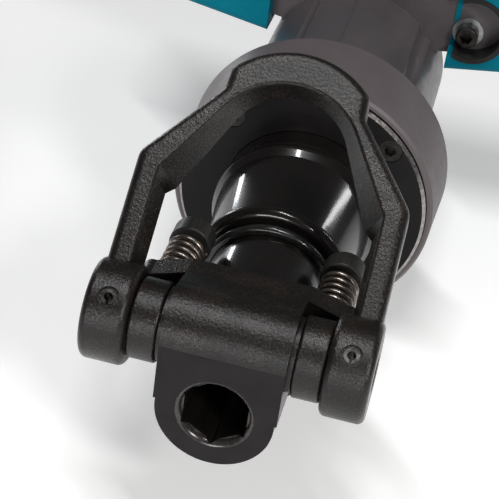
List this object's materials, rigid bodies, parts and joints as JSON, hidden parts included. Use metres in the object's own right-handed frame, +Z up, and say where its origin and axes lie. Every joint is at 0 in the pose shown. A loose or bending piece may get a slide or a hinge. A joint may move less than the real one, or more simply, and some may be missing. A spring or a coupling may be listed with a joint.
{
  "type": "breaker hammer front end",
  "caption": "Front end of a heavy breaker hammer: hexagon tool holder with a sprung swing-over retainer, sleeve, nose ring, barrel with its impact mechanism, and the start of the housing.",
  "frame": {"origin": "centre of the hexagon tool bore's mouth, on the tool axis", "axes": "+Y along the tool axis from the nose to the rear flange, +Z up towards the parked retainer yoke, +X across; the tool points out along -Y"},
  "size_m": [0.244, 0.405, 0.1883],
  "materials": {
    "forged_black": "satin",
    "gloss_black": "gloss",
    "plate_black": "satin",
    "casting_gray": "satin",
    "ring_gray": "satin",
    "spring_steel": "satin",
    "cap_dark": "matte",
    "pin_steel": "polished",
    "zinc_steel": "satin",
    "ground_steel": "polished",
    "dark_bolt": "satin",
    "teal_plastic": "satin",
    "black_rubber": "matte",
    "damper_rubber": "matte",
    "piston_alloy": "satin"
  },
  "bodies": {
    "front_end": {"tool_holder": "forged_black", "front_sleeve": "gloss_black", "neck_wiper": "black_rubber", "neck_bead_ring": "gloss_black", "front_plate": "plate_black", "front_plate_bolts": "dark_bolt", "nose_ring": "ring_gray", "barrel": "casting_gray", "barrel_washers": "zinc_steel", "barrel_bolts": "dark_bolt", "shroud_left": "teal_plastic", "shroud_right": "teal_plastic", "window_seal": "black_rubber", "shroud_screws": "dark_bolt", "bolt_guide": "ground_steel", "front_damper_washer": "zinc_steel", "damper_ring": "damper_rubber", "rear_damper_washer": "zinc_steel", "cylinder_front_ring": "zinc_steel", "cylinder_liner": "ground_steel", "retainer_spring_left": "spring_steel", "retainer_spring_right": "spring_steel"},
    "retainer_carrier": {"shaft_collar_left": "forged_black", "shaft_collar_right": "forged_black", "retainer_bolts": "dark_bolt", "spring_caps": "cap_dark"},
    "yoke": {"retainer_yoke": "forged_black", "retainer_shaft": "ground_steel", "yoke_roll_pins": "pin_steel"},
    "bolt": {"impact_bolt": "ground_steel", "impact_bolt_seal": "black_rubber"},
    "striker_body": {"striker": "ground_steel", "striker_rings": "black_rubber"},
    "piston_body": {"piston": "piston_alloy", "piston_ring": "black_rubber", "wrist_pin": "ground_steel", "wrist_pin_clips": "zinc_steel"}
  },
  "joints": [
    {"name": "shock_slide", "type": "slide", "parent": "front_end", "child": "retainer_carrier", "axis": [0, -1, 0], "range_m": [0, 0.005], "stiffness_N_per_m": 40000, "springref_m": -0.002, "deforming": ["retainer_spring_left", "retainer_spring_right"]},
    {"name": "retainer_swing", "type": "hinge", "parent": "retainer_carrier", "child": "yoke", "pos_m": [0, 0.0195, 0.0275], "axis": [1, 0, 0], "range_deg": [0, 162]},
    {"name": "impact_bolt_slide", "type": "slide", "parent": "front_end", "child": "bolt", "axis": [0, 1, 0], "range_m": [-0.008, 0]},
    {"name": "piston_slide", "type": "slide", "parent": "front_end", "child": "piston_body", "axis": [0, 1, 0], "range_m": [-0.02, 0.02]},
    {"name": "striker_slide", "type": "slide", "parent": "front_end", "child": "striker_body", "axis": [0, 1, 0], "range_m": [-0.02, 0.02]}
  ],
  "couplings": [
    {"joint": "striker_slide", "follows": "piston_slide", "ratio": 1}
  ]
}
